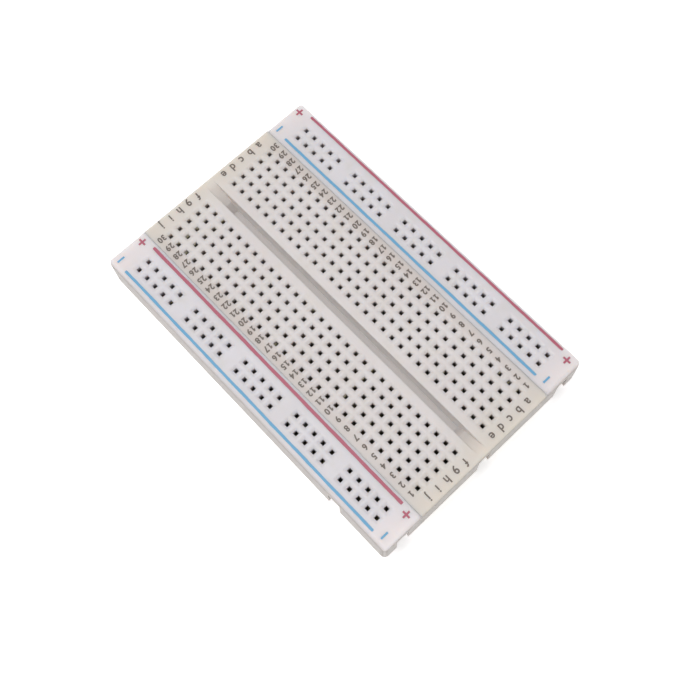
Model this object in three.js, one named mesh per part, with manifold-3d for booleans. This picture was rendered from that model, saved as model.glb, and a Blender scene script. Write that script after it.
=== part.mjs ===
// A half-size solderless breadboard: a terminal block between two power rails, each a moulded
// housing full of sprung metal clips, with a foam adhesive pad and a release liner underneath.
// Millimetres, +Z up. The origin is the middle of the underside. +X points at column 1 and +Y at
// row a. "front" is the -Y power rail and "rear" the +Y one.

import * as THREE from "three";
import { mergeVertices } from "three/addons/utils/BufferGeometryUtils.js";
import Module from "manifold-3d";

// Contact grid
const PITCH = 2.54;
const COLUMNS = 30;
const ROWS_PER_BANK = 5;
const RAIL_GROUPS = 5;
const HOLES_PER_GROUP = 5;
const BANK_SPACING = 7.62; // row e to row f, across the ravine
const HOLE_SIDE = 0.85;

// Housings
const HOUSING_HEIGHT = 8.5;
const END_MARGIN = 4.67; // last column's holes to the short end
const BLOCK_SIDE_MARGIN = 3.43; // rows a and j to the seams
const RAIL_INNER_MARGIN = 3.58; // inner rail row to its seam
const RAIL_OUTER_MARGIN = 3.63; // outer rail row to the board's long edge
const SEAM_GAP = 0.1;
const CORNER_RADIUS = 1.3; // outer vertical corners of the rails
const FRONT_EDGE_RADIUS = 1.0; // top of the front rail's long outer edge
const REAR_EDGE_RADIUS = 0.3; // top of the rear rail's long outer edge

// Clip pockets, open at the underside
const TOP_WALL = 1.7; // plastic over the pockets
const POCKET_RIB = 0.64; // plastic between neighbouring pockets
const POCKET_OVERRUN = 0.95; // pocket past its last hole centre

// Ravine between the two banks, with a step and a ramp up to the top face near each end
const RAVINE_WIDTH = 2.1;
const RAVINE_DEPTH = 4.2;
const RAMP_DEPTH = 2.2; // where the ramp leaves the step
const RAMP_MARGIN = 6.7; // short end to the foot of the ramp
const LAND_MARGIN = 1.1; // short end to where the ramp meets the top face
const STEP_RUN = 1.5; // how far the step leans

// Dovetails that clip modules together: tabs on -X and +Y sides, notches on +X and -Y sides
const DOVETAIL_MOUTH = 3.2;
const DOVETAIL_INNER = 4.0;
const DOVETAIL_DEPTH = 1.5;
const DOVETAIL_ROOF = 1.6; // plastic left over a notch
const DOVETAIL_CLEARANCE = 0.12;
const TAB_HEIGHT = 4.2;
const SIDE_DOVETAIL_X = 27.25;

// Metal clips
const SHEET = 0.2;
const CLIP_CLEARANCE = 0.1;
const LEAF_HEADROOM = 0.4; // leaf tips to the pocket roof
const LEAF_PINCH = 1.6; // leaf tips down to the pinch
const LEAF_SHOULDER = 3.4; // leaf tips down to where the leaves bend in
const PINCH_HALF_GAP = 0.1;
const TIP_HALF_GAP = 0.45;
const BUS_BASE = 1.2; // height of the strip that joins the groups of a bus clip
const BRIDGE_WIDTH = 0.6; // joins the two clips of a column under the ravine
const BRIDGE_CLEARANCE = 0.3;

// Adhesive backing
const FOAM_THICKNESS = 0.9;
const LINER_THICKNESS = 0.1;
const FOAM_INSET = 0.4; // pad's edge to the bottom of the dovetail notches

// Positions worked out from the sizes above
const underside = LINER_THICKNESS + FOAM_THICKNESS;
const topFace = underside + HOUSING_HEIGHT;
const pocketRoof = topFace - TOP_WALL;
const pocketWidth = PITCH - POCKET_RIB;
const halfLength = ((COLUMNS - 1) * PITCH) / 2 + END_MARGIN;
const innerRow = BANK_SPACING / 2;
const outerRow = innerRow + (ROWS_PER_BANK - 1) * PITCH;
const blockSide = outerRow + BLOCK_SIDE_MARGIN;
const railInnerSide = blockSide + SEAM_GAP;
const railInnerRow = railInnerSide + RAIL_INNER_MARGIN;
const railOuterRow = railInnerRow + PITCH;
const railOuterSide = railOuterRow + RAIL_OUTER_MARGIN;
const groupPitch = (HOLES_PER_GROUP + 1) * PITCH;
const railHoleSpan = (RAIL_GROUPS - 1) * groupPitch + (HOLES_PER_GROUP - 1) * PITCH;
const CUT = 1; // how far a cutter runs past the face it opens

const columnX = (column) => ((COLUMNS + 1) / 2 - column) * PITCH;
const bankRows = Array.from({ length: ROWS_PER_BANK }, (_, i) => innerRow + i * PITCH);

const wasm = await Module();
wasm.setup();

const X = new THREE.Vector3(1, 0, 0);
const Y = new THREE.Vector3(0, 1, 0);
const Z = new THREE.Vector3(0, 0, 1);
// A section's two drawing axes and the axis it is extruded along, in cyclic order
const PRISM_AXES = { x: [Y, Z, X], y: [Z, X, Y], z: [X, Y, Z] };

const plastic = { roughness: 0.45, metalness: 0 };
const materials = {
  block: new THREE.MeshStandardMaterial({ color: 0xdad1c9, ...plastic }),
  rail: new THREE.MeshStandardMaterial({ color: 0xdcd7d9, ...plastic }),
  clip: new THREE.MeshStandardMaterial({ color: 0xb5b29c, roughness: 0.3, metalness: 1 }),
  foam: new THREE.MeshStandardMaterial({ color: 0xeeeae0, roughness: 0.95, metalness: 0 }),
  liner: new THREE.MeshStandardMaterial({ color: 0xf2ead2, roughness: 0.6, metalness: 0 }),
};

function toSolid(geometry) {
  geometry.deleteAttribute("normal");
  geometry.deleteAttribute("uv");
  const merged = mergeVertices(geometry);
  const vertProperties = merged.attributes.position.array;
  const triVerts = new Uint32Array(merged.index.array);
  return new wasm.Manifold(new wasm.Mesh({ numProp: 3, vertProperties, triVerts }));
}

function toMesh(name, solid, material) {
  const { numProp, vertProperties, triVerts } = solid.getMesh();
  const geometry = new THREE.BufferGeometry();
  geometry.setAttribute("position", new THREE.BufferAttribute(vertProperties, numProp));
  geometry.setIndex(new THREE.BufferAttribute(triVerts, 1));
  const mesh = new THREE.Mesh(geometry, material);
  mesh.name = name;
  return mesh;
}

function box(x0, x1, y0, y1, z0, z1) {
  const geometry = new THREE.BoxGeometry(x1 - x0, y1 - y0, z1 - z0);
  geometry.translate((x0 + x1) / 2, (y0 + y1) / 2, (z0 + z1) / 2);
  return toSolid(geometry);
}

// A straight prism of the given section, from one coordinate to another along an axis.
function prism(shape, axis, from, to) {
  const options = { depth: to - from, bevelEnabled: false, curveSegments: 4 };
  const geometry = new THREE.ExtrudeGeometry(shape, options);
  geometry.translate(0, 0, from);
  geometry.applyMatrix4(new THREE.Matrix4().makeBasis(...PRISM_AXES[axis]));
  return toSolid(geometry);
}

function polygon(points) {
  return new THREE.Shape(points.map(([u, v]) => new THREE.Vector2(u, v)));
}

function joined(solids) {
  return solids.reduce((sum, solid) => sum.add(solid));
}

// Dovetail outline with its root on the line v = 0, wider at v = reach.
function dovetailOutline(rootWidth, tipWidth, reach, behind) {
  return polygon([
    [-rootWidth / 2, -behind],
    [rootWidth / 2, -behind],
    [rootWidth / 2, 0],
    [tipWidth / 2, reach],
    [-tipWidth / 2, reach],
    [-rootWidth / 2, 0],
  ]);
}

// The outline turned so that v points along the given direction, and moved to (x, y).
function placedDovetail(outline, x, y, angle, z0, z1) {
  const options = { depth: z1 - z0, bevelEnabled: false };
  const geometry = new THREE.ExtrudeGeometry(outline, options);
  geometry.rotateZ(angle);
  geometry.translate(x, y, z0);
  return toSolid(geometry);
}

const NOTCH_OUTLINE = dovetailOutline(DOVETAIL_MOUTH, DOVETAIL_INNER, DOVETAIL_DEPTH, CUT);
const TAB_OUTLINE = dovetailOutline(
  DOVETAIL_MOUTH - 2 * DOVETAIL_CLEARANCE,
  DOVETAIL_INNER - 2 * DOVETAIL_CLEARANCE,
  DOVETAIL_DEPTH - DOVETAIL_CLEARANCE,
  DOVETAIL_CLEARANCE,
);

// A module between y0 and y1 gets its end pair in the middle and its side pair at one x.
function withDovetails(housing, y0, y1) {
  const middle = (y0 + y1) / 2;
  const notchTop = topFace - DOVETAIL_ROOF;
  const notchBottom = underside - CUT;
  const tabTop = underside + TAB_HEIGHT;
  const quarter = Math.PI / 2;
  const endNotch = placedDovetail(NOTCH_OUTLINE, halfLength, middle, quarter, notchBottom, notchTop);
  const sideNotch = placedDovetail(NOTCH_OUTLINE, SIDE_DOVETAIL_X, y0, 0, notchBottom, notchTop);
  const endTab = placedDovetail(TAB_OUTLINE, -halfLength, middle, quarter, underside, tabTop);
  const sideTab = placedDovetail(TAB_OUTLINE, SIDE_DOVETAIL_X, y1, 0, underside, tabTop);
  return housing.subtract(endNotch.add(sideNotch)).add(endTab).add(sideTab);
}

function contactHole(x, y) {
  const half = HOLE_SIDE / 2;
  return box(x - half, x + half, y - half, y + half, pocketRoof - CUT / 2, topFace + CUT);
}

// Section of the ravine along the board, drawn as (z, x).
function ravine() {
  const rampStart = halfLength - RAMP_MARGIN;
  const rampEnd = halfLength - LAND_MARGIN;
  const runPerRise = (rampEnd - rampStart) / RAMP_DEPTH;
  const half = [
    [topFace - RAVINE_DEPTH, rampStart - STEP_RUN],
    [topFace - RAMP_DEPTH, rampStart],
    [topFace + CUT, rampEnd + runPerRise * CUT],
  ];
  const otherHalf = half.map(([z, x]) => [z, -x]).reverse();
  return prism(polygon([...half, ...otherHalf]), "y", -RAVINE_WIDTH / 2, RAVINE_WIDTH / 2);
}

// The pocket of one five-contact clip, on the row a side (side 1) or the row j side (side -1).
function terminalPocket(x, side) {
  const ends = [side * (innerRow - POCKET_OVERRUN), side * (outerRow + POCKET_OVERRUN)];
  const [y0, y1] = [Math.min(...ends), Math.max(...ends)];
  return box(x - pocketWidth / 2, x + pocketWidth / 2, y0, y1, underside - CUT, pocketRoof);
}

function bridgeChannel(x) {
  const half = BRIDGE_WIDTH / 2 + BRIDGE_CLEARANCE;
  const reach = innerRow - POCKET_OVERRUN + BRIDGE_CLEARANCE;
  return box(x - half, x + half, -reach, reach, underside - CUT, underside + SHEET + BRIDGE_CLEARANCE);
}

function terminalBlock() {
  const blank = box(-halfLength, halfLength, -blockSide, blockSide, underside, topFace);
  const cutters = [ravine()];
  for (let column = 1; column <= COLUMNS; column++) {
    const x = columnX(column);
    cutters.push(bridgeChannel(x), terminalPocket(x, 1), terminalPocket(x, -1));
    for (const row of bankRows) cutters.push(contactHole(x, row), contactHole(x, -row));
  }
  const body = withDovetails(blank, -blockSide, blockSide);
  return toMesh("terminal_block", body.subtract(joined(cutters)), materials.block);
}

// Plan of a rail on the +Y side (side 1) or the -Y side (side -1), outer corners rounded.
function railPlan(side) {
  const r = CORNER_RADIUS;
  const shape = new THREE.Shape();
  shape.moveTo(-halfLength, side * railInnerSide);
  shape.lineTo(halfLength, side * railInnerSide);
  const outward = side > 0 ? Math.PI / 2 : -Math.PI / 2;
  shape.absarc(halfLength - r, side * (railOuterSide - r), r, 0, outward, side < 0);
  shape.absarc(-halfLength + r, side * (railOuterSide - r), r, outward, Math.PI * side, side < 0);
  shape.closePath();
  return shape;
}

// Section of a rail drawn as (y, z), with its outer top edge rounded.
function railSection(side) {
  const r = side > 0 ? REAR_EDGE_RADIUS : FRONT_EDGE_RADIUS;
  const shape = new THREE.Shape();
  shape.moveTo(side * railInnerSide, underside);
  shape.lineTo(side * railInnerSide, topFace);
  const outward = side > 0 ? 0 : Math.PI;
  shape.absarc(side * (railOuterSide - r), topFace - r, r, Math.PI / 2, outward, side > 0);
  shape.lineTo(side * railOuterSide, underside);
  shape.closePath();
  return shape;
}

function railHoleXs() {
  const xs = [];
  for (let group = 0; group < RAIL_GROUPS; group++) {
    const start = -railHoleSpan / 2 + group * groupPitch;
    for (let i = 0; i < HOLES_PER_GROUP; i++) xs.push(start + i * PITCH);
  }
  return xs;
}

function powerRail(name, side) {
  const section = prism(railSection(side), "x", -halfLength, halfLength);
  const blank = section.intersect(prism(railPlan(side), "z", underside, topFace));
  const faces = [side * railInnerSide, side * railOuterSide];
  const body = withDovetails(blank, Math.min(...faces), Math.max(...faces));
  const reach = railHoleSpan / 2 + POCKET_OVERRUN;
  const cutters = [];
  for (const row of [side * railInnerRow, side * railOuterRow]) {
    const [y0, y1] = [row - pocketWidth / 2, row + pocketWidth / 2];
    cutters.push(box(-reach, reach, y0, y1, underside - CUT, pocketRoof));
    for (const x of railHoleXs()) cutters.push(contactHole(x, row));
  }
  return toMesh(name, body.subtract(joined(cutters)), materials.rail);
}

// Section of a sprung channel as (across, up) pairs: a flat base and two leaves that bend in
// to a pinch under the hole and flare again at their tips.
function leafSection(centre) {
  const outer = pocketWidth / 2 - CLIP_CLEARANCE;
  const tip = pocketRoof - LEAF_HEADROOM;
  const shoulder = tip - LEAF_SHOULDER;
  const pinch = tip - LEAF_PINCH;
  const right = [
    [outer, underside],
    [outer, shoulder],
    [PINCH_HALF_GAP + SHEET, pinch],
    [TIP_HALF_GAP + SHEET, tip],
    [TIP_HALF_GAP, tip],
    [PINCH_HALF_GAP, pinch],
    [outer - SHEET, shoulder],
    [outer - SHEET, underside + SHEET],
  ];
  const left = right.map(([across, up]) => [-across, up]).reverse();
  return [...right, ...left].map(([across, up]) => [centre + across, up]);
}

// The a-e and f-j clips of one column, joined by a thin bridge under the ravine.
function terminalClips(column) {
  const x = columnX(column);
  const section = polygon(leafSection(x).map(([across, up]) => [up, across]));
  const near = innerRow - POCKET_OVERRUN + CLIP_CLEARANCE;
  const far = outerRow + POCKET_OVERRUN - CLIP_CLEARANCE;
  const reach = near + SHEET;
  const half = BRIDGE_WIDTH / 2;
  const bridge = box(x - half, x + half, -reach, reach, underside, underside + SHEET);
  const pair = prism(section, "y", near, far).add(prism(section, "y", -far, -near));
  const name = "terminal_clips_" + String(column).padStart(2, "0");
  return toMesh(name, pair.add(bridge), materials.clip);
}

// One bus clip along a rail row: five groups of leaves standing on one strip.
function busClip(name, row) {
  const section = polygon(leafSection(row));
  const reach = railHoleSpan / 2 + POCKET_OVERRUN - CLIP_CLEARANCE;
  const strip = prism(section, "x", -reach, reach);
  const gaps = [];
  for (let group = 1; group < RAIL_GROUPS; group++) {
    const middle = -railHoleSpan / 2 + group * groupPitch - PITCH;
    const half = PITCH - POCKET_OVERRUN;
    const [y0, y1] = [row - pocketWidth, row + pocketWidth];
    gaps.push(box(middle - half, middle + half, y0, y1, underside + BUS_BASE, topFace));
  }
  return toMesh(name, strip.subtract(joined(gaps)), materials.clip);
}

// A layer of the backing under one module, inside the reach of the dovetails.
function backing(name, y0, y1, z0, z1, material) {
  const inset = DOVETAIL_DEPTH + FOAM_INSET;
  const length = halfLength - inset;
  return toMesh(name, box(-length, length, y0 + inset, y1 - inset, z0, z1), material);
}

function foamPad(name, y0, y1) {
  return backing(name, y0, y1, LINER_THICKNESS, underside, materials.foam);
}

function releaseLiner(name, y0, y1) {
  return backing(name, y0, y1, 0, LINER_THICKNESS, materials.liner);
}

function terminalModule() {
  const group = new THREE.Group();
  group.add(terminalBlock());
  for (let column = 1; column <= COLUMNS; column++) group.add(terminalClips(column));
  group.add(foamPad("foam_pad_block", -blockSide, blockSide));
  group.add(releaseLiner("release_liner_block", -blockSide, blockSide));
  return group;
}

function railModule(place, side) {
  const group = new THREE.Group();
  const faces = [side * railInnerSide, side * railOuterSide];
  const [y0, y1] = [Math.min(...faces), Math.max(...faces)];
  group.add(powerRail("power_rail_" + place, side));
  group.add(busClip("bus_clip_" + place + "_inner", side * railInnerRow));
  group.add(busClip("bus_clip_" + place + "_outer", side * railOuterRow));
  group.add(foamPad("foam_pad_" + place, y0, y1));
  group.add(releaseLiner("release_liner_" + place, y0, y1));
  return group;
}

const breadboard = new THREE.Group();
breadboard.add(terminalModule(), railModule("front", -1), railModule("rear", 1));

export default breadboard;
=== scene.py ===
"""Looks of a half-size solderless breadboard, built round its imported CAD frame.

Lengths are in millimetres until finish_piece() turns a mesh into metres. +X points at column 1,
+Y at row a and the rear power rail, and +Z up out of the contact holes.
"""

import math

import bmesh
import bpy
from mathutils import Matrix, Vector


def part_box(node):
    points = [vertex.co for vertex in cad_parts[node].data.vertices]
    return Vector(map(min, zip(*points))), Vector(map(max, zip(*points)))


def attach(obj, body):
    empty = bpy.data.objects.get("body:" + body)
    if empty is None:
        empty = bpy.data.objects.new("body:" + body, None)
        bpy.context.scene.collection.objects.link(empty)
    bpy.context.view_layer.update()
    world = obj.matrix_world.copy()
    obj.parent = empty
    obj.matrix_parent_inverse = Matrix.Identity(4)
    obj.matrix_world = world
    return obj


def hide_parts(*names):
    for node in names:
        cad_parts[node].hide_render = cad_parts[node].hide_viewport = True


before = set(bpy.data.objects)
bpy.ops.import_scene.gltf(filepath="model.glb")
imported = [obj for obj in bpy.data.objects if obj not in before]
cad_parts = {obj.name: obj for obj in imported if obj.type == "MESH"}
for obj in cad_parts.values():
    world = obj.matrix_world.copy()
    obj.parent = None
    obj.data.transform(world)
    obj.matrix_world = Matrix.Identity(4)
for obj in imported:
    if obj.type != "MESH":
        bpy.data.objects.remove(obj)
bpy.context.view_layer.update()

MM = 0.001


def box_mm(node):
    """Lowest and highest corner of a CAD node, in millimetres."""
    low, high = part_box(node)
    return low / MM, high / MM


# Contact grid
PITCH = 2.54
COLUMNS = 30
BANK_ROWS = 5
RAIL_GROUPS = 5
GROUP_HOLES = 5

# Faces of the housings, from the frame
BLOCK_LOW, BLOCK_HIGH = box_mm("terminal_block")
HALF_LENGTH = BLOCK_HIGH.x
BLOCK_SIDE = -BLOCK_LOW.y
UNDERSIDE = BLOCK_LOW.z
TOP = BLOCK_HIGH.z
TAB_REACH = -BLOCK_LOW.x - HALF_LENGTH
RAIL_INNER_SIDE = box_mm("power_rail_rear")[0].y
RAIL_OUTER_SIDE = -box_mm("power_rail_front")[0].y

# Clips, from the frame
CLIP_LOW, CLIP_HIGH = box_mm("terminal_clips_01")
CLIP_WIDTH = CLIP_HIGH.x - CLIP_LOW.x
CLIP_FAR = CLIP_HIGH.y
CLIP_TOP = CLIP_HIGH.z
BUS_REACH = box_mm("bus_clip_rear_inner")[1].x
INNER_ROW = 1.5 * PITCH
OUTER_ROW = INNER_ROW + (BANK_ROWS - 1) * PITCH
RAIL_ROWS = [sum(c.y for c in box_mm("bus_clip_rear_" + place)) / 2 for place in ("inner", "outer")]

# Contact holes and the pockets under them
HOLE_HALF = 0.425
FUNNEL_HALF = 1.12
TOP_WALL = 1.7
SHADE_START = 0.3  # depth at which the painted shade on the walls of a hole begins
POCKET_GAP = 0.1
POCKET_TOP = TOP - TOP_WALL
PAST = 1.0  # how far a cutter runs past the face it opens

# Ravine
RAVINE_HALF = 1.05
RAVINE_DEPTH = 4.2
RAMP_START = HALF_LENGTH - 6.7
RAMP_END = HALF_LENGTH - 1.1
RAMP_DEPTH = 2.2
STEP_RUN = 1.5
RAVINE_LIP = 0.25

# Dovetails
DOVETAIL_MOUTH = 3.2
DOVETAIL_INNER = 4.0
DOVETAIL_DEPTH = 1.5
DOVETAIL_ROOF = 1.6
DOVETAIL_CLEARANCE = 0.12
TAB_HEIGHT = 4.2
SIDE_DOVETAIL_X = 27.25

# Rounded edges
RAIL_TOP_RADIUS = {"front": 1.0, "rear": 0.3}
RAIL_CORNER_RADIUS = 1.3
EDGE_RADIUS = 0.3
END_EDGE_RADIUS = {"block": 0.5, "front": 0.7, "rear": 0.95}
SEAM_RADIUS = 0.03
SEAM_GAP = 0.01
ARC_STEPS = 5

SOAK_DEPTH = 1.6  # how far light spreads inside the plastic
SIDE_LEAN = 0.85  # a face whose normal has a larger upward share than this is no side
SIDE_FADE = 0.5
SIDE_MARGIN = 0.2  # how far past a notch's depth a face still belongs to the outline

# Metal
SHEET = 0.2
BEND_RADIUS = 0.35
FINGER_GAP = 0.5
FINGER_ROOT = 2.2  # height of the folded channel under the fingers
PINCH_DROP = 1.6
SHOULDER_DROP = 3.4
PINCH_HALF_GAP = 0.1
TIP_HALF_GAP = 0.45
BUS_BASE = 1.2
TIP_THICKNESS = 0.1

FOAM_PINCH = 0.12
PAD_CORNER = 1.2

# Printing
INK_PROUD = 0.012
INK_SUNK = 0.03
PRINT_STRETCH = 1.0105  # the printed pitch is a little longer than the moulded one
NUMBER_SIZE = 1.88
NUMBER_BOLD = 0.06
FIGURE_STEP = 0.95  # from one figure of a number to the next
LETTER_SIZE = 2.55
LETTER_BOLD = 0.045
LETTER_SPREAD = 0.985  # the letters stand a little closer together than the rows
RED_LINE_ENDS = (-37.2, 37.0)
BLUE_LINE_ENDS = (-37.2, 36.9)
BLUE_LINE_WIDTH = 0.58
SIGN_HALF_STROKE = 0.21
SIGN_ARM = 0.9
SIGN_XS = (("column_1", 39.0), ("column_30", -39.85))

# Ageing, as the distances over which a tint comes in
STRIP_FADE = (14.2, 15.8)  # from the middle towards the numbers
END_FADE = (33.0, 42.0)  # from the middle towards the short ends

# Studio
SKY = 0.36
SOFTBOX = 5.25
SOFTBOX_PLACE = (-0.15, -0.12, 1.0)  # metres
SOFTBOX_SIZE = 0.5  # metres
FLOOR_GLOW = 0.52
FLOOR_REACH = 3000
FLOOR_THICKNESS = 20


# ---------------------------------------------------------------- outlines


def rounded_rectangle(u0, u1, v0, v1, radii, steps=ARC_STEPS):
    """Outline, anticlockwise from the (u0, v0) corner, with one radius for each corner."""
    corners = [(u0, v0, 1, 1), (u1, v0, -1, 1), (u1, v1, -1, -1), (u0, v1, 1, -1)]
    points = []
    for quarter, ((u, v, su, sv), r) in enumerate(zip(corners, radii)):
        start = math.pi + quarter * math.pi / 2
        for i in range(steps + 1):
            a = start + i * math.pi / 2 / steps
            points.append((u + su * r + r * math.cos(a), v + sv * r + r * math.sin(a)))
    return points


def rounded_path(points, radius, steps=3):
    """An open path with each inner corner eased over a length of radius."""
    path = [Vector(points[0])]
    for before, corner, after in zip(points, points[1:], points[2:]):
        corner = Vector(corner)
        a = corner + (Vector(before) - corner).normalized() * radius
        b = corner + (Vector(after) - corner).normalized() * radius
        for i in range(steps + 1):
            t = i / steps
            path.append(a.lerp(corner, t).lerp(corner.lerp(b, t), t))
    return path + [Vector(points[-1])]


def sheet_section(path, thickness):
    """Closed outline of a sheet of even thickness that follows an open path."""
    left, right = [], []
    for i, p in enumerate(path):
        along = path[min(i + 1, len(path) - 1)] - path[max(i - 1, 0)]
        side = Vector((-along.y, along.x)).normalized() * thickness / 2
        left.append(p + side)
        right.append(p - side)
    return right + left[::-1]


# ---------------------------------------------------------------- solids

CYCLE = {"x": (1, 2, 0), "y": (2, 0, 1), "z": (0, 1, 2)}  # where a section's u, v and run go


def placed(u, v, run, axis):
    point = [0.0, 0.0, 0.0]
    for value, slot in zip((u, v, run), CYCLE[axis]):
        point[slot] = value
    return tuple(point)


def prism(outline, axis, start, end):
    """Closed solid of an outline extruded along an axis, as (vertices, faces)."""
    n = len(outline)
    vertices = [placed(u, v, run, axis) for run in (start, end) for u, v in outline]
    sides = [(i, (i + 1) % n, n + (i + 1) % n, n + i) for i in range(n)]
    return vertices, [tuple(reversed(range(n))), tuple(range(n, 2 * n)), *sides]


def stack(rings):
    """Closed solid through rings of equally many points, lowest ring first."""
    n = len(rings[0])
    vertices = [point for ring in rings for point in ring]
    faces = [tuple(reversed(range(n))), tuple(range(len(vertices) - n, len(vertices)))]
    for k in range(len(rings) - 1):
        for i in range(n):
            j = (i + 1) % n
            faces.append((k * n + i, k * n + j, (k + 1) * n + j, (k + 1) * n + i))
    return vertices, faces


def box(x0, x1, y0, y1, z0, z1):
    return prism([(x0, y0), (x1, y0), (x1, y1), (x0, y1)], "z", z0, z1)


def solid_object(name, *solids):
    """One object holding closed solids that don't touch each other."""
    vertices, faces = [], []
    for some_vertices, some_faces in solids:
        base = len(vertices)
        vertices += some_vertices
        faces += [tuple(base + i for i in face) for face in some_faces]
    mesh = bpy.data.meshes.new(name)
    mesh.from_pydata(vertices, [], faces)
    bm = bmesh.new()
    bm.from_mesh(mesh)
    bmesh.ops.recalc_face_normals(bm, faces=bm.faces)
    bm.to_mesh(mesh)
    bm.free()
    obj = bpy.data.objects.new(name, mesh)
    bpy.context.scene.collection.objects.link(obj)
    return obj


def bake(obj):
    """The object's mesh with its modifiers applied."""
    bpy.context.view_layer.update()
    evaluated = obj.evaluated_get(bpy.context.evaluated_depsgraph_get())
    mesh = bpy.data.meshes.new_from_object(evaluated)
    obj.modifiers.clear()
    obj.data = mesh
    return obj


def combine(obj, operation, tool):
    """Cuts a tool from the object, joins it on or keeps what both hold, and removes the tool."""
    modifier = obj.modifiers.new(operation, "BOOLEAN")
    modifier.operation = operation
    modifier.solver = "MANIFOLD"
    modifier.object = tool
    bake(obj)
    bpy.data.objects.remove(tool)
    return obj


def rounded_block(name, low, high, plan, section, elevation):
    """A box with rounded edges: radii of its corners seen from above, along X and along Y."""
    x0, y0, z0 = low
    x1, y1, z1 = high
    obj = solid_object(name, prism(rounded_rectangle(x0, x1, y0, y1, plan), "z", z0, z1))
    across = prism(rounded_rectangle(y0, y1, z0, z1, section), "x", x0 - PAST, x1 + PAST)
    combine(obj, "INTERSECT", solid_object("section", across))
    along = prism(rounded_rectangle(z0, z1, x0, x1, elevation), "y", y0 - PAST, y1 + PAST)
    return combine(obj, "INTERSECT", solid_object("elevation", along))


# ---------------------------------------------------------------- repeating pieces


def placing_tree():
    """Geometry nodes that set a piece on points, each copy a little out of place."""
    tree = bpy.data.node_groups.new("set_piece_on_points", "GeometryNodeTree")
    sockets = (
        ("Points", "Geometry"),
        ("Piece", "Object"),
        ("Finish", "Material"),
        ("Shift", "Vector"),
        ("Turn", "Vector"),
        ("Seed", "Int"),
    )
    for name, kind in sockets:
        tree.interface.new_socket(name, in_out="INPUT", socket_type="NodeSocket" + kind)
    tree.interface.new_socket("Pieces", in_out="OUTPUT", socket_type="NodeSocketGeometry")
    nodes, link = tree.nodes, tree.links.new
    given = nodes.new("NodeGroupInput").outputs
    result = nodes.new("NodeGroupOutput")

    def spread(limit, seed):
        """A random vector for each point, up to the limit either way."""
        least = nodes.new("ShaderNodeVectorMath")
        least.operation = "SCALE"
        least.inputs["Scale"].default_value = -1
        link(given[limit], least.inputs[0])
        chance = nodes.new("FunctionNodeRandomValue")
        chance.data_type = "FLOAT_VECTOR"
        link(least.outputs[0], chance.inputs[0])
        link(given[limit], chance.inputs[1])
        link(seed, chance.inputs["Seed"])
        return chance.outputs[0]

    move = nodes.new("GeometryNodeSetPosition")
    link(given["Points"], move.inputs["Geometry"])
    link(spread("Shift", given["Seed"]), move.inputs["Offset"])
    piece = nodes.new("GeometryNodeObjectInfo")
    link(given["Piece"], piece.inputs["Object"])
    copies = nodes.new("GeometryNodeInstanceOnPoints")
    link(move.outputs[0], copies.inputs["Points"])
    link(piece.outputs["Geometry"], copies.inputs["Instance"])
    link(spread("Turn", given["Seed"]), copies.inputs["Rotation"])
    real = nodes.new("GeometryNodeRealizeInstances")
    link(copies.outputs[0], real.inputs[0])
    finish = nodes.new("GeometryNodeSetMaterial")
    link(real.outputs[0], finish.inputs["Geometry"])
    link(given["Finish"], finish.inputs["Material"])
    link(finish.outputs[0], result.inputs[0])
    return tree


PLACING = placing_tree()


def repeated(name, piece, points, finish=None, shift=(0, 0, 0), turn=(0, 0, 0), seed=0):
    """One object of copies of a piece at the points, made by the placing tree."""
    mesh = bpy.data.meshes.new(name)
    mesh.from_pydata(points, [], [])
    obj = bpy.data.objects.new(name, mesh)
    bpy.context.scene.collection.objects.link(obj)
    modifier = obj.modifiers.new("copies", "NODES")
    modifier.node_group = PLACING
    values = {"Piece": piece, "Finish": finish, "Shift": shift, "Turn": turn, "Seed": seed}
    for item in PLACING.interface.items_tree:
        if item.in_out == "INPUT" and item.name in values:
            modifier[item.identifier] = values[item.name]
    bake(obj)
    bpy.data.objects.remove(piece)
    return obj


# ---------------------------------------------------------------- materials


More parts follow.
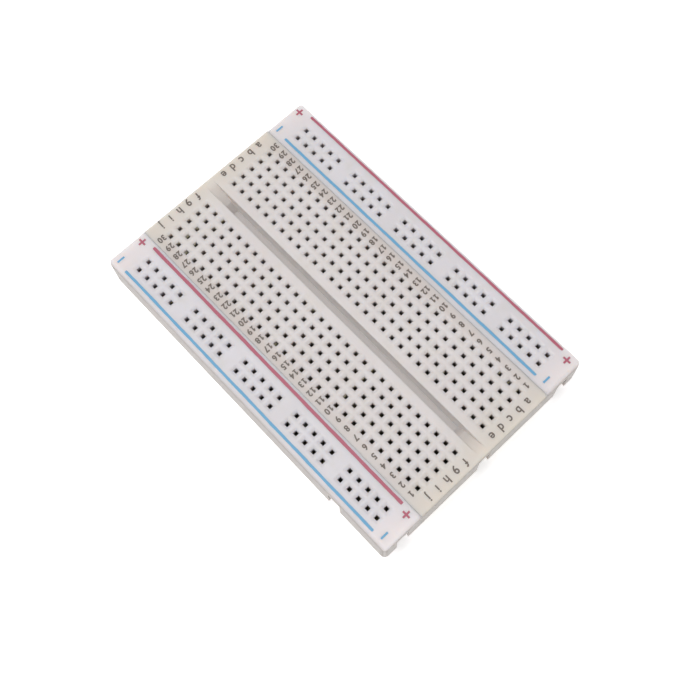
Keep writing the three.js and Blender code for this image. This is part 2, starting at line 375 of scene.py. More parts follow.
class Finish:
    """A procedural material with the few node patterns that the finishes share."""

    def __init__(self, name, roughness, metallic=0.0, specular=0.5):
        self.material = bpy.data.materials.new(name)
        self.material.use_nodes = True
        self.nodes = self.material.node_tree.nodes
        self.link = self.material.node_tree.links.new
        self.shader = self.nodes["Principled BSDF"]
        self.shader.inputs["Roughness"].default_value = roughness
        self.shader.inputs["Metallic"].default_value = metallic
        self.shader.inputs["Specular IOR Level"].default_value = specular
        coordinates = self.nodes.new("ShaderNodeTexCoord")
        scale = self.nodes.new("ShaderNodeVectorMath")
        scale.operation = "SCALE"
        scale.inputs["Scale"].default_value = 1 / MM
        self.link(coordinates.outputs["Object"], scale.inputs[0])
        self.place = scale.outputs[0]

    def noise(self, per_mm, detail=3.0, roughness=0.5, stretch=None):
        """Noise that repeats about per_mm times in a millimetre, from 0 to 1."""
        node = self.nodes.new("ShaderNodeTexNoise")
        node.inputs["Scale"].default_value = per_mm
        node.inputs["Detail"].default_value = detail
        node.inputs["Roughness"].default_value = roughness
        place = self.place
        if stretch:
            mapping = self.nodes.new("ShaderNodeMapping")
            mapping.inputs["Scale"].default_value = stretch
            self.link(place, mapping.inputs["Vector"])
            place = mapping.outputs[0]
        self.link(place, node.inputs["Vector"])
        return node.outputs["Fac"]

    def ramp(self, value, low, high, at_low=0.0, at_high=1.0):
        node = self.nodes.new("ShaderNodeMapRange")
        for socket, number in zip(node.inputs[1:5], (low, high, at_low, at_high)):
            socket.default_value = number
        self.link(value, node.inputs[0])
        return node.outputs[0]

    def math(self, operation, a, b=0.0):
        node = self.nodes.new("ShaderNodeMath")
        node.operation = operation
        for socket, value in zip(node.inputs, (a, b)):
            if isinstance(value, float):
                socket.default_value = value
            else:
                self.link(value, socket)
        return node.outputs[0]

    def axis(self, name):
        node = self.nodes.new("ShaderNodeSeparateXYZ")
        self.link(self.place, node.inputs[0])
        return node.outputs[name]

    def blend(self, share, first, second):
        """Colour from first at share 0 to second at share 1."""
        node = self.nodes.new("ShaderNodeMix")
        node.data_type = "RGBA"
        self.link(share, node.inputs["Factor"])
        for socket, colour in zip((node.inputs[6], node.inputs[7]), (first, second)):
            if isinstance(colour, tuple):
                socket.default_value = (*colour, 1)
            else:
                self.link(colour, socket)
        return node.outputs[2]

    def colour(self, colour):
        self.link(colour, self.shader.inputs["Base Color"])
        return self

    def roughness(self, value):
        self.link(value, self.shader.inputs["Roughness"])
        return self

    def bump(self, *layers):
        """Layers of (height from 0 to 1, depth in millimetres)."""
        normal = None
        for height, depth in layers:
            node = self.nodes.new("ShaderNodeBump")
            node.inputs["Strength"].default_value = 1.0
            node.inputs["Distance"].default_value = depth * MM
            self.link(height, node.inputs["Height"])
            if normal is not None:
                self.link(normal, node.inputs["Normal"])
            normal = node.outputs[0]
        self.link(normal, self.shader.inputs["Normal"])
        return self


def moulded_plastic(name, fresh, aged, end_tint, painted_wall_shade, strip_tint=None, painted_trough_shade_and_light=None):
    """Satin ABS that light soaks into: cloudy, and yellowed a little towards the short ends.

    The "hollow" attribute grows down the walls of the contact holes, where shade is painted
    into the colour, and "side" is 1 on the upright faces of the outline, which take a painted shade.
    """
    finish = Finish(name, roughness=0.42, specular=0.4)
    clouds = finish.ramp(finish.noise(0.09, detail=2), 0.35, 0.65)
    body = finish.blend(clouds, fresh, aged)
    stain = tuple(c * share for c, share in zip(aged, (0.98, 0.985, 0.95)))
    body = finish.blend(finish.ramp(finish.noise(0.3, detail=3), 0.5, 0.68, 0.0, 0.7), body, stain)
    if strip_tint:
        across = finish.math("ABSOLUTE", finish.axis("Y"))
        stray = finish.ramp(finish.noise(0.2, detail=2), 0.3, 0.7, -0.5, 0.5)
        strip = finish.ramp(finish.math("ADD", across, stray), *STRIP_FADE)
        fading = finish.ramp(finish.axis("X"), -5.0, 25.0, 1.0, 0.6)
        body = finish.blend(finish.math("MULTIPLY", strip, fading), body, strip_tint)
    # painted shade on the ravine floor and painted light on its upright sides
    if painted_trough_shade_and_light:
        across = finish.math("ABSOLUTE", finish.axis("Y"))
        upright = finish.ramp(across, RAVINE_HALF - 0.06, RAVINE_HALF - 0.01)
        inside = finish.ramp(across, RAVINE_HALF + 0.35, RAVINE_HALF + 0.1)
        deep = finish.ramp(finish.axis("Z"), TOP - 0.1, TOP - RAMP_DEPTH + 0.4)
        trough = finish.blend(upright, *painted_trough_shade_and_light)
        body = finish.blend(finish.math("MULTIPLY", inside, deep), body, trough)
    distance = finish.math("ABSOLUTE", finish.axis("X"))
    wander = finish.ramp(finish.noise(0.12, detail=2), 0.3, 0.7, -1.5, 1.5)
    ends = finish.ramp(finish.math("ADD", distance, wander), *END_FADE)
    body = finish.blend(ends, body, end_tint)
    # painted shade on the upright faces of the outline, which the overhead light leaves in shade
    side = finish.nodes.new("ShaderNodeAttribute")
    side.attribute_name = "side"
    body = finish.blend(side.outputs["Fac"], body, painted_wall_shade)
    # painted shade down the walls of the contact holes, growing darker with depth
    hollow = finish.nodes.new("ShaderNodeAttribute")
    hollow.attribute_name = "hollow"
    painted_hole_shade = tuple(0.43 * c for c in aged)
    finish.colour(finish.blend(hollow.outputs["Fac"], body, painted_hole_shade))
    finish.roughness(finish.ramp(finish.noise(1.5, detail=4), 0.3, 0.7, 0.36, 0.5))
    finish.shader.inputs["Subsurface Weight"].default_value = 0.7
    finish.shader.inputs["Subsurface Radius"].default_value = (1.0, 0.9, 0.8)
    finish.shader.inputs["Subsurface Scale"].default_value = SOAK_DEPTH * MM
    grain = finish.noise(9.0, detail=3, roughness=0.6)
    sink = finish.noise(0.16, detail=1)
    return finish.bump((sink, 0.012), (grain, 0.0018)).material


def spring_metal():
    finish = Finish("spring_metal", roughness=0.28, metallic=1.0)
    tarnish = finish.ramp(finish.noise(0.6, detail=4), 0.4, 0.7)
    finish.colour(finish.blend(tarnish, (0.62, 0.6, 0.5), (0.4, 0.38, 0.22)))
    rolled = finish.noise(4.0, detail=3, stretch=(1, 1, 0.08))
    finish.roughness(finish.ramp(rolled, 0.3, 0.7, 0.22, 0.42))
    return finish.bump((rolled, 0.003)).material


def dulled_metal():
    """Metal that has lost its shine where it stands bare in a hole."""
    finish = Finish("dulled_metal", roughness=0.55, metallic=0.35)
    stain = finish.ramp(finish.noise(1.8, detail=3), 0.35, 0.65)
    finish.colour(finish.blend(stain, (0.62, 0.58, 0.42), (0.42, 0.38, 0.24)))
    return finish.bump((finish.noise(5.0), 0.004)).material


def ink(name, full, thin, wear):
    """Pad-printed ink: slightly uneven, and thin where it has worn."""
    finish = Finish(name, roughness=0.5)
    blotch = finish.noise(2.2, detail=4, roughness=0.65)
    finish.colour(finish.blend(finish.ramp(blotch, 1 - wear, 1.1 - wear * 0.6), full, thin))
    finish.roughness(finish.ramp(blotch, 0.3, 0.7, 0.4, 0.6))
    return finish.bump((finish.noise(6.0), 0.003)).material


def foam_backing():
    finish = Finish("foam_backing", roughness=0.9, specular=0.2)
    cells = finish.nodes.new("ShaderNodeTexVoronoi")
    cells.inputs["Scale"].default_value = 5.0
    finish.link(finish.place, cells.inputs["Vector"])
    pores = finish.ramp(cells.outputs["Distance"], 0.1, 0.7)
    finish.colour(finish.blend(pores, (0.62, 0.6, 0.55), (0.86, 0.85, 0.8)))
    return finish.bump((pores, 0.06)).material


def waxed_paper():
    finish = Finish("waxed_paper", roughness=0.45)
    fibres = finish.noise(1.4, detail=5, roughness=0.7, stretch=(0.25, 1, 1))
    finish.colour(finish.blend(finish.ramp(fibres, 0.3, 0.7), (0.8, 0.73, 0.53), (0.88, 0.82, 0.66)))
    finish.roughness(finish.ramp(fibres, 0.3, 0.7, 0.38, 0.55))
    return finish.bump((fibres, 0.01), (finish.noise(0.05, detail=1), 0.1)).material


BLOCK_PLASTIC = moulded_plastic(
    "block_plastic",
    fresh=(0.84, 0.79, 0.78),
    aged=(0.81, 0.755, 0.745),
    end_tint=(0.81, 0.75, 0.675),
    painted_wall_shade=(0.43, 0.39, 0.36),
    strip_tint=(0.76, 0.68, 0.64),
    painted_trough_shade_and_light=((0.60, 0.565, 0.55), (0.97, 0.93, 0.91)),  # painted shade on the floor, painted light on the sides
)
RAIL_PLASTIC = moulded_plastic(
    "rail_plastic",
    fresh=(0.83, 0.80, 0.835),
    aged=(0.80, 0.765, 0.785),
    end_tint=(0.94, 0.86, 0.86),
    painted_wall_shade=(0.45, 0.41, 0.385),
)
SPRING_METAL = spring_metal()
DULLED_METAL = dulled_metal()
RED_INK = ink("red_ink", (0.51, 0.125, 0.185), (0.72, 0.38, 0.43), 0.4)
BLUE_INK = ink("blue_ink", (0.16, 0.44, 0.70), (0.45, 0.64, 0.77), 0.4)
GREY_INK = ink("grey_ink", (0.17, 0.14, 0.12), (0.42, 0.37, 0.33), 0.4)
FOAM = foam_backing()
PAPER = waxed_paper()


# ---------------------------------------------------------------- finishing a piece


def finish_piece(obj, name, material, body, replaced=(), sharp=None):
    """Names a piece, turns it into metres, shades it and sets it on its body."""
    obj.name = obj.data.name = name
    obj.data.transform(Matrix.Scale(MM, 4))
    obj.data.materials.clear()
    obj.data.materials.append(material)
    for face in obj.data.polygons:
        face.material_index = 0
    obj.data.shade_flat()
    if sharp:
        obj.data.shade_smooth()
        obj.data.set_sharp_from_angle(angle=math.radians(sharp))
        modifier = obj.modifiers.new("even_faces", "WEIGHTED_NORMAL")
        modifier.keep_sharp = True
        bake(obj)
        obj.data.name = name
    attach(obj, body)
    if replaced:
        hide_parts(*replaced)
    return obj


# ---------------------------------------------------------------- housings


def column_x(column):
    return ((COLUMNS + 1) / 2 - column) * PITCH


def bank_ys():
    return [side * (INNER_ROW + i * PITCH) for side in (1, -1) for i in range(BANK_ROWS)]


def rail_xs():
    span = RAIL_GROUPS * (GROUP_HOLES + 1) - 2
    steps = [g * (GROUP_HOLES + 1) + i for g in range(RAIL_GROUPS) for i in range(GROUP_HOLES)]
    return [(step - span / 2) * PITCH for step in steps]


def contact_hole_cutter():
    """A square hole that widens into a shallow soft-edged funnel at the top."""
    profile = (
        # half width, corner radius, height from the top face
        (HOLE_HALF, 0.09, -TOP_WALL - 0.2),
        (HOLE_HALF, 0.09, -0.45),
        (HOLE_HALF + 0.025, 0.1, -0.28),
        (HOLE_HALF + 0.08, 0.12, -0.22),
        (FUNNEL_HALF - 0.14, 0.24, -0.035),
        (FUNNEL_HALF - 0.05, 0.27, -0.006),
        (FUNNEL_HALF, 0.28, 0.0),
        (FUNNEL_HALF, 0.28, 0.3),
    )
    rings = []
    for half, radius, height in profile:
        outline = rounded_rectangle(-half, half, -half, half, [radius] * 4, steps=2)
        rings.append([(u, v, TOP + height) for u, v in outline])
    return solid_object("hole_cutter", stack(rings))


def cut_contacts(housing, holes, pockets):
    """Cuts the pockets and holes, and marks the walls of the holes as hollow."""
    combine(housing, "DIFFERENCE", solid_object("pockets", *pockets))
    points = [(x, y, 0) for x, y in holes]
    combine(housing, "DIFFERENCE", repeated("holes", contact_hole_cutter(), points))
    cells = {(round(x / PITCH * 2), round(y, 2)) for x, y in holes}
    rows = sorted({y for _, y in holes})
    reach = HOLE_HALF + 0.03
    marks = []
    for vertex in housing.data.vertices:
        x, y, z = vertex.co
        row = min(rows, key=lambda r: abs(r - y))
        column = round(x / PITCH * 2 - 1e-9)
        near = [c for c in (column - 1, column, column + 1) if (c, round(row, 2)) in cells]
        inside = any(abs(x - c * PITCH / 2) < reach for c in near) and abs(y - row) < reach
        depth = (TOP - z - SHADE_START) / (TOP_WALL - SHADE_START)
        marks.append(min(1.0, max(0.0, depth)) if inside else 0.0)
    # hollow is the mask of the painted shade on the walls of the holes
    hollow = housing.data.attributes.new("hollow", "FLOAT", "POINT")
    hollow.data.foreach_set("value", marks)
    return housing


def cut_ravine(block):
    """The trough between the banks, with a step and a ramp up to the top face near each end."""
    run_per_rise = (RAMP_END - RAMP_START) / RAMP_DEPTH
    ease = 0.25  # softens the top and bottom of the step
    half = [
        (TOP - RAVINE_DEPTH, RAMP_START - STEP_RUN - ease),
        (TOP - RAVINE_DEPTH + ease / 2, RAMP_START - STEP_RUN),
        (TOP - RAMP_DEPTH - ease / 2, RAMP_START - ease / 3),
        (TOP - RAMP_DEPTH + ease / 4, RAMP_START + ease),
        (TOP - RAMP_DEPTH / 4, RAMP_END - run_per_rise * RAMP_DEPTH / 4),
        (TOP + PAST, RAMP_END + run_per_rise * PAST),
    ]
    outline = half + [(z, -x) for z, x in reversed(half)]
    trough = prism(outline, "y", -RAVINE_HALF, RAVINE_HALF)
    combine(block, "DIFFERENCE", solid_object("trough", trough))
    lip = []
    for side in (-1, 1):
        arc = []
        for i in range(ARC_STEPS + 1):
            a = i / ARC_STEPS * math.pi / 2
            across = RAVINE_HALF + RAVINE_LIP * (1 - math.cos(a))
            arc.append((side * across, TOP - RAVINE_LIP * (1 - math.sin(a))))
        arc.append((side * (RAVINE_HALF + RAVINE_LIP), TOP + PAST))
        lip += arc if side == 1 else arc[::-1]
    shift = lip[len(lip) // 2:] + lip[:len(lip) // 2]
    run = prism(shift, "x", -RAMP_END + 1.5, RAMP_END - 1.5)
    return combine(block, "DIFFERENCE", solid_object("lip", run))


def dovetail(root, tip, reach, behind, x, y, direction, z0, z1):
    """A dovetail prism rooted at (x, y) and widening towards the direction."""
    out = Vector(direction)
    side = Vector((-out.y, out.x))
    outline = [(-root, -behind), (root, -behind), (root, 0), (tip, reach), (-tip, reach), (-root, 0)]
    points = [Vector((x, y)) + side * -u / 2 + out * v for u, v in outline]
    return prism([(p.x, p.y) for p in points], "z", z0, z1)


def dovetailed(housing, y0, y1):
    """Notches in the +X and -Y faces and tabs on the -X and +Y faces."""
    middle = (y0 + y1) / 2
    notch = (DOVETAIL_MOUTH, DOVETAIL_INNER, DOVETAIL_DEPTH, PAST)
    heights = (UNDERSIDE - PAST, TOP - DOVETAIL_ROOF)
    end = dovetail(*notch, HALF_LENGTH, middle, (-1, 0), *heights)
    side = dovetail(*notch, SIDE_DOVETAIL_X, y0, (0, 1), *heights)
    combine(housing, "DIFFERENCE", solid_object("notches", end, side))
    slack = 2 * DOVETAIL_CLEARANCE
    tab = (DOVETAIL_MOUTH - slack, DOVETAIL_INNER - slack, TAB_REACH, DOVETAIL_CLEARANCE)
    heights = (UNDERSIDE, UNDERSIDE + TAB_HEIGHT)
    end = dovetail(*tab, -HALF_LENGTH, middle, (-1, 0), *heights)
    side = dovetail(*tab, SIDE_DOVETAIL_X, y1, (0, 1), *heights)
    return combine(housing, "UNION", solid_object("tabs", end, side))


def mark_sides(housing, y0, y1):
    """Marks the upright faces along the outline and in its notches, fading out over rounded edges."""
    marks = []
    for face in housing.data.polygons:
        x, y, z = face.center
        from_edge = min(HALF_LENGTH - abs(x), y - y0, y1 - y)
        in_ravine = abs(y) < RAVINE_HALF + RAVINE_LIP and abs(x) < RAMP_END and z > TOP - RAVINE_DEPTH
        upright = min(1.0, max(0.0, (SIDE_LEAN - abs(face.normal.z)) / SIDE_FADE))
        marks.append(upright if from_edge < DOVETAIL_DEPTH + SIDE_MARGIN and not in_ravine else 0.0)
    # side is the mask of the painted shade on the upright faces
    side = housing.data.attributes.new("side", "FLOAT", "FACE")
    side.data.foreach_set("value", marks)


def terminal_housing():
    low = (-HALF_LENGTH, -BLOCK_SIDE, UNDERSIDE)
    high = (HALF_LENGTH, BLOCK_SIDE, TOP)
    end = END_EDGE_RADIUS["block"]
    seam, ends = [SEAM_RADIUS] * 4, [EDGE_RADIUS, end, end, EDGE_RADIUS]
    block = rounded_block("terminal_housing", low, high, seam, seam, ends)
    cut_ravine(block)
    near = INNER_ROW - (CLIP_FAR - OUTER_ROW) - POCKET_GAP
    far = CLIP_FAR + POCKET_GAP
    half = CLIP_WIDTH / 2 + POCKET_GAP
    pockets = []
    for column in range(1, COLUMNS + 1):
        x = column_x(column)
        for y0, y1 in ((near, far), (-far, -near)):
            pockets.append(box(x - half, x + half, y0, y1, UNDERSIDE - PAST, POCKET_TOP))
    holes = [(column_x(c), y) for c in range(1, COLUMNS + 1) for y in bank_ys()]
    cut_contacts(block, holes, pockets)
    dovetailed(block, -BLOCK_SIDE, BLOCK_SIDE)
    mark_sides(block, -BLOCK_SIDE, BLOCK_SIDE)
    slot, node = "block_plastic", "terminal_block"
    finish_piece(block, "terminal_housing", BLOCK_PLASTIC, "block", [node], sharp=38)


def rail_housing(place, side):
    y0, y1 = sorted((side * (BLOCK_SIDE + SEAM_GAP), side * RAIL_OUTER_SIDE))
    corner, edge, soft, seam = RAIL_CORNER_RADIUS, RAIL_TOP_RADIUS[place], EDGE_RADIUS, SEAM_RADIUS
    plan = [seam, seam, corner, corner] if side > 0 else [corner, corner, seam, seam]
    section = [seam, soft, edge, seam] if side > 0 else [soft, seam, seam, edge]
    low, high = (-HALF_LENGTH, y0, UNDERSIDE), (HALF_LENGTH, y1, TOP)
    name = f"power_rail_housing_{place}"
    ends = [soft, END_EDGE_RADIUS[place], END_EDGE_RADIUS[place], soft]
    rail = rounded_block(name, low, high, plan, section, ends)
    half = CLIP_WIDTH / 2 + POCKET_GAP
    reach = BUS_REACH + POCKET_GAP
    rows = [side * row for row in RAIL_ROWS]
    pockets = [box(-reach, reach, y - half, y + half, UNDERSIDE - PAST, POCKET_TOP) for y in rows]
    cut_contacts(rail, [(x, y) for x in rail_xs() for y in rows], pockets)
    dovetailed(rail, y0, y1)
    mark_sides(rail, y0, y1)
    slot, node = "rail_plastic", f"power_rail_{place}"
    finish_piece(rail, name, RAIL_PLASTIC, f"{place}_rail", [node], sharp=38)


# ---------------------------------------------------------------- clips


def leaf_section():
    """Section of a folded channel whose two leaves pinch under the hole and flare at the tips."""
    side = (CLIP_WIDTH - SHEET) / 2
    half = [
        (TIP_HALF_GAP + SHEET / 2, CLIP_TOP),
        (PINCH_HALF_GAP + SHEET / 2, CLIP_TOP - PINCH_DROP),
        (side, CLIP_TOP - SHOULDER_DROP),
        (side, UNDERSIDE + SHEET / 2),
    ]
    path = [(-across, up) for across, up in half] + half[::-1]
    return sheet_section(rounded_path(path, BEND_RADIUS), SHEET)


def fingered_clip(centres, reach):
    """A clip along X with a pair of fingers under each hole centre."""
    clip = solid_object("clip", prism(leaf_section(), "x", -reach, reach))
    gaps = []
    for a, b in zip(centres, centres[1:]):
        middle = (a + b) / 2
        wide = abs(b - a) > 1.5 * PITCH
        half = abs(b - a) / 2 - (PITCH - FINGER_GAP) / 2
        floor = UNDERSIDE + (BUS_BASE if wide else FINGER_ROOT)
        gaps.append(box(middle - half, middle + half, -PITCH, PITCH, floor, TOP))
    return combine(clip, "DIFFERENCE", solid_object("gaps", *gaps))


def terminal_clips():
    """Sixty five-contact clips, one for each column of a bank."""
    centres = [(i - (BANK_ROWS - 1) / 2) * PITCH for i in range(BANK_ROWS)]
    middle = (INNER_ROW + OUTER_ROW) / 2
    piece = fingered_clip(centres, CLIP_FAR - middle)
    piece.data.transform(Matrix.Rotation(math.pi / 2, 4, "Z"))
    points = [(column_x(c), side * middle, 0) for side in (1, -1) for c in range(1, COLUMNS + 1)]
    clips = repeated("clips", piece, points, SPRING_METAL, (0.05, 0.05, 0.0), (0, 0, 0.004), 3)
    nodes = [f"terminal_clips_{column:02d}" for column in range(1, COLUMNS + 1)]
    finish_piece(clips, "terminal_spring_clips", SPRING_METAL, "block", nodes, sharp=50)


def sprung_contacts():
    """Contact tips that have sprung up along one wall of their holes, where they show."""
    sprung = {29: "fghij", 28: "fghij", 17: "fhj", 10: "fghi", 7: "gi"}
    sprung |= {6: "d", 4: "cd", 3: "a", 2: "a", 1: "a"}
    foot, knee, tip = POCKET_TOP - 0.2, TOP - 0.95, TOP - 0.5
    path = rounded_path([(foot, -0.35), (knee, -0.35), (tip, -0.24)], 0.15)
    leaf = solid_object("leaf", prism(sheet_section(path, TIP_THICKNESS), "y", -0.3, 0.3))
    ys = dict(zip("abcdefghij", sorted(bank_ys(), reverse=True)))
    points = [(column_x(column), ys[row], 0) for column, rows in sprung.items() for row in rows]
    tips = repeated("tips", leaf, points, DULLED_METAL, (0.01, 0.08, 0.08), (0.08, 0.02, 0.1), 8)
    finish_piece(tips, "sprung_contact_tips", DULLED_METAL, "block", sharp=50)


def bus_clips(place, side):
    piece = fingered_clip(rail_xs(), BUS_REACH)
    points = [(0, side * row, 0) for row in RAIL_ROWS]
    clips = repeated("clips", piece, points, SPRING_METAL, (0.05, 0.04, 0.0), (0, 0, 0), 5)
    nodes = [f"bus_clip_{place}_inner", f"bus_clip_{place}_outer"]
    name, body = f"bus_spring_clips_{place}", f"{place}_rail"
    finish_piece(clips, name, SPRING_METAL, body, nodes, sharp=50)


# ---------------------------------------------------------------- printing


def rail_top(y):
    """Height of a rail's top surface, which falls away round its outer edge."""
    radius = RAIL_TOP_RADIUS["rear" if y > 0 else "front"]
    past = max(0.0, abs(y) - (RAIL_OUTER_SIDE - radius))
    return TOP - radius + math.sqrt(max(0.0, radius**2 - past**2))


def wobble(x, phase):
    """A slow, smooth wander between about -1 and 1."""
    return 0.5 * math.sin(0.41 * x + phase) + 0.3 * math.sin(1.13 * x + 2 * phase) + 0.2 * math.sin(2.9 * x)


def printed_line(name, y, width, start, end, material, body, phase):
    """A thin printed line along X that follows the surface and has slightly uneven edges."""
    across = 4
    steps = 220
    bottom, top = [], []
    for i in range(steps + 1):
        x = start + (end - start) * i / steps
        centre = y + 0.03 * wobble(x, phase)
        half = width / 2 + 0.025 * wobble(1.7 * x, phase + 1)
        half *= min(1.0, 0.82 + 0.18 * min(i, steps - i))
        for j in range(across):
            v = centre + half * (2 * j / (across - 1) - 1)
            bottom.append((x, v, rail_top(v) - INK_SUNK))
            top.append((x, v, rail_top(v) + INK_PROUD))
    vertices = bottom + top
    base = len(bottom)
    faces = []
    for i in range(steps):
        for j in range(across - 1):
            a = i * across + j
            quad = (a, a + across, a + across + 1, a + 1)
            faces += [quad, tuple(base + k for k in reversed(quad))]
        for a, b in ((i * across, (i + 1) * across), ((i + 2) * across - 1, (i + 1) * across - 1)):
            faces.append((a, base + a, base + b, b))
    for row in (0, steps):
        for j in range(across - 1):
            a = row * across + j
            faces.append((a, a + 1, base + a + 1, base + a))
    line = solid_object(name, (vertices, faces))
    finish_piece(line, name, material, body, sharp=30)


def figure_one(size, bold):
    """The figure 1, with a flag and a short foot, as tall as the font's own figures."""
    height, foot = 0.7 * size, 0.2 * size
    stem, bar = 0.1 * size / 2 + bold, 0.12 * size
    outline = [(-foot, 0), (foot, 0), (foot, bar), (stem, bar), (stem, height), (-stem, height)]
    outline += [(-foot, height - 1.2 * bar), (-foot, height - 2.6 * bar), (-stem, height - 1.7 * bar)]
    outline += [(-stem, bar), (-foot, bar)]
    points = [(u, v - height / 2) for u, v in outline]
    half = (INK_PROUD + INK_SUNK) / 2
    obj = solid_object("one", prism(points, "z", -half, half))
    mesh = obj.data
    bpy.data.objects.remove(obj)
    return mesh


def font_figure(text, size, bold):
    curve = bpy.data.curves.new("glyph", "FONT")
    curve.body = text
    curve.size = size
    curve.resolution_u = 3
    curve.extrude = (INK_PROUD + INK_SUNK) / 2
    curve.offset = bold
    curve.align_x, curve.align_y = "CENTER", "CENTER"
    obj = bpy.data.objects.new("glyph", curve)
    bpy.context.scene.collection.objects.link(obj)
    bpy.context.view_layer.update()
    mesh = bpy.data.meshes.new_from_object(obj.evaluated_get(bpy.context.evaluated_depsgraph_get()))
    bpy.data.objects.remove(obj)
    return mesh


def glyph_solid(text, size, x, y, bold, squeeze=0.9):
    """A printed character, its top towards +X, centred at (x, y), as a mesh in millimetres."""
    mesh = figure_one(size, bold) if text == "1" else font_figure(text, size, bold)
    height = TOP + (INK_PROUD - INK_SUNK) / 2
    turn = Matrix.Rotation(-math.pi / 2, 4, "Z") @ Matrix.Diagonal((squeeze, 1, 1, 1))
    mesh.transform(Matrix.Translation((x, y, height)) @ turn)
    return mesh


def printed(name, meshes, material, body):
    """One piece of ink made of several characters."""
    bm = bmesh.new()
    for mesh in meshes:
        bm.from_mesh(mesh)
        bpy.data.meshes.remove(mesh)
    bmesh.ops.remove_doubles(bm, verts=bm.verts, dist=0.0005)
    bmesh.ops.recalc_face_normals(bm, faces=bm.faces)
    mesh = bpy.data.meshes.new(name)
    bm.to_mesh(mesh)
    bm.free()
    obj = bpy.data.objects.new(name, mesh)
    bpy.context.scene.collection.objects.link(obj)
    finish_piece(obj, name, material, body)


def column_numbers(name, y, shift):
    """Both figures of a number stand side by side along -Y, and the print drifts off the holes."""
    glyphs = []
    for column in range(1, COLUMNS + 1):
        x = column_x(column) * PRINT_STRETCH + shift
        figures = str(column)
        for i, figure in enumerate(figures):
            along = (i - (len(figures) - 1) / 2) * FIGURE_STEP
            glyphs.append(glyph_solid(figure, NUMBER_SIZE, x, y - along, NUMBER_BOLD))
    printed(name, glyphs, GREY_INK, "block")


def row_letters(name, x):
    glyphs = []
    rows = sorted(bank_ys(), reverse=True)
    for letter, y in zip("abcdefghij", rows):
        # a single-storey g has the shape of a 9 that hangs below the line
        shape, drop = ("9", 0.35) if letter == "g" else (letter, 0.0)
        y *= LETTER_SPREAD
        glyphs.append(glyph_solid(shape, LETTER_SIZE, x - drop, y, LETTER_BOLD, squeeze=0.92))
    printed(name, glyphs, GREY_INK, "block")


def rail_signs(place, plus_y, minus_y):
    """A plus and a minus at both ends of a rail."""
    body = f"{place}_rail"
    z0, z1 = TOP - INK_SUNK, TOP + INK_PROUD
    a, b = SIGN_HALF_STROKE, SIGN_ARM
    cross = [(b, -a), (b, a), (a, a), (a, b), (-a, b), (-a, a)]
    cross += [(-u, -v) for u, v in cross]
    for end, x in SIGN_XS:
        plus = prism([(x + u, plus_y + v) for u, v in cross], "z", z0, z1)
        sign = solid_object("plus", plus)
        finish_piece(sign, f"plus_sign_{place}_{end}", RED_INK, body)
        minus = rounded_rectangle(x - a, x + a, minus_y - b, minus_y + b, [0.06] * 4)
        sign = solid_object("minus", prism(minus, "z", z0, z1))
        finish_piece(sign, f"minus_sign_{place}_{end}", BLUE_INK, body)


# ---------------------------------------------------------------- backing


def soft_slab(node, pinch):
    """A slab in a CAD node's box with soft corners, drawn in a little at its top and bottom."""
    low, high = box_mm(node)
    rings = []
    steps = 6
    for i in range(steps + 1):
        t = i / steps
        draw = pinch * (1 - 4 * t * (1 - t))
        sides = (low.x + draw, high.x - draw, low.y + draw, high.y - draw)
        outline = rounded_rectangle(*sides, [PAD_CORNER] * 4, steps=4)
        rings.append([(x, y, low.z + (high.z - low.z) * t) for x, y in outline])
    return solid_object(node, stack(rings))


def backing(place, body, liner_body):
    """The adhesive foam under a module and the paper sheet laid on it."""
    node = f"foam_pad_{place}"
    pad = soft_slab(node, FOAM_PINCH)
    finish_piece(pad, f"adhesive_foam_{place}", FOAM, body, [node], sharp=40)
    node = f"release_liner_{place}"
    liner = soft_slab(node, 0.0)
    finish_piece(liner, f"liner_sheet_{place}", PAPER, liner_body, [node], sharp=40)


# ---------------------------------------------------------------- studio


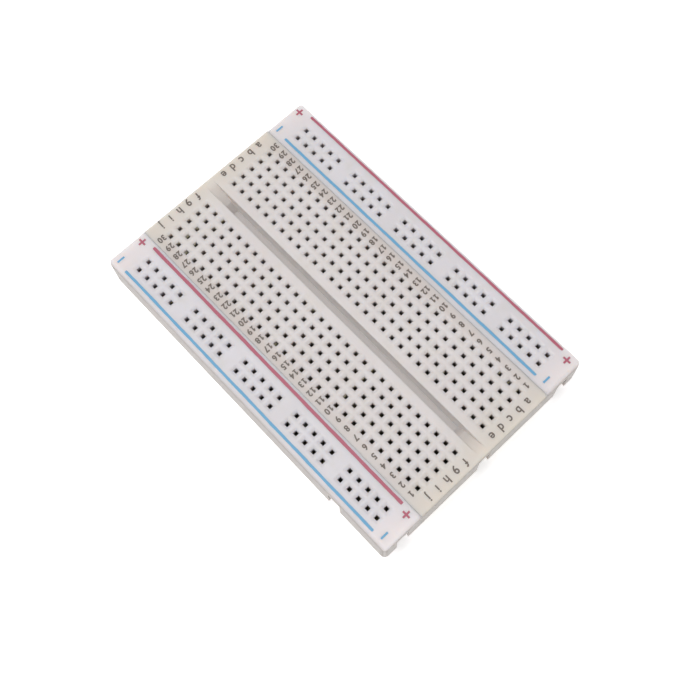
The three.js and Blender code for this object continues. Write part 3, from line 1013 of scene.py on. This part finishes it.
def studio():
    scene = bpy.context.scene
    scene.view_settings.view_transform = "Standard"
    reach = FLOOR_REACH
    floor = solid_object("floor", box(-reach, reach, -reach, reach, -FLOOR_THICKNESS, 0))
    floor.data.transform(Matrix.Scale(MM, 4))
    paper = Finish("studio_floor", roughness=0.9, specular=0.1)
    faint = paper.ramp(paper.noise(0.02, detail=2), 0.3, 0.7)
    paper.colour(paper.blend(faint, (0.93, 0.93, 0.93), (0.95, 0.95, 0.95)))
    paper.shader.inputs["Emission Color"].default_value = (1, 1, 1, 1)
    paper.shader.inputs["Emission Strength"].default_value = FLOOR_GLOW
    floor.data.materials.append(paper.material)

    world = bpy.data.worlds.new("studio")
    scene.world = world
    world.use_nodes = True
    nodes, link = world.node_tree.nodes, world.node_tree.links.new
    sky = nodes["Background"]
    sky.inputs["Color"].default_value = (1, 1, 1, 1)
    sky.inputs["Strength"].default_value = SKY
    backdrop = nodes.new("ShaderNodeBackground")
    backdrop.inputs["Color"].default_value = (1, 1, 1, 1)
    seen = nodes.new("ShaderNodeLightPath")
    either = nodes.new("ShaderNodeMixShader")
    link(seen.outputs["Is Camera Ray"], either.inputs[0])
    link(sky.outputs[0], either.inputs[1])
    link(backdrop.outputs[0], either.inputs[2])
    link(either.outputs[0], nodes["World Output"].inputs["Surface"])

    def soft_light(name, position, size, watts):
        data = bpy.data.lights.new(name, "AREA")
        data.shape = "DISK"
        data.size = size
        data.energy = watts
        lamp = bpy.data.objects.new(name, data)
        lamp.location = position
        lamp.rotation_euler = (-Vector(position)).to_track_quat("-Z", "Y").to_euler()
        scene.collection.objects.link(lamp)

    soft_light("overhead_softbox", SOFTBOX_PLACE, SOFTBOX_SIZE, SOFTBOX)


def studio_camera():
    data = bpy.data.cameras.new("camera")
    data.sensor_width = 36.0
    data.lens = 55.64
    data.clip_start, data.clip_end = 0.005, 10.0
    camera = bpy.data.objects.new("camera", data)
    right = Vector((0.68576133, 0.72742411, -0.0241984))
    down = Vector((0.68009791, -0.65227858, -0.33466326))
    forward = Vector((-0.25922622, 0.21304184, -0.94202704))
    place = Vector((60.4008, -48.7792, 202.3404 + TOP)) * MM
    axes = Matrix((right, -down, -forward)).transposed().to_4x4()
    camera.matrix_world = Matrix.Translation(place) @ axes
    bpy.context.scene.collection.objects.link(camera)
    bpy.context.scene.camera = camera


studio_camera()
studio()
terminal_housing()
terminal_clips()
sprung_contacts()
column_numbers("column_numbers_front", -15.78, -0.38)
column_numbers("column_numbers_rear", 15.85, -0.12)
row_letters("row_letters_column_1", 39.6)
row_letters("row_letters_column_30", -39.9)
for place, side, red_y, red_width, blue_y, plus_y, minus_y in (
    ("front", -1, -18.3, 0.7, -25.9, -19.2, -24.97),
    ("rear", 1, 26.5, 0.58, 18.8, 25.5, 19.62),
):
    rail_housing(place, side)
    bus_clips(place, side)
    body = f"{place}_rail"
    printed_line(f"red_line_{place}", red_y, red_width, *RED_LINE_ENDS, RED_INK, body, 0.4 + side)
    blue = (blue_y, BLUE_LINE_WIDTH, *BLUE_LINE_ENDS)
    printed_line(f"blue_line_{place}", *blue, BLUE_INK, body, 2.1 + side)
    rail_signs(place, plus_y, minus_y)
    backing(place, body, f"{place}_liner")
backing("block", "block", "block_liner")
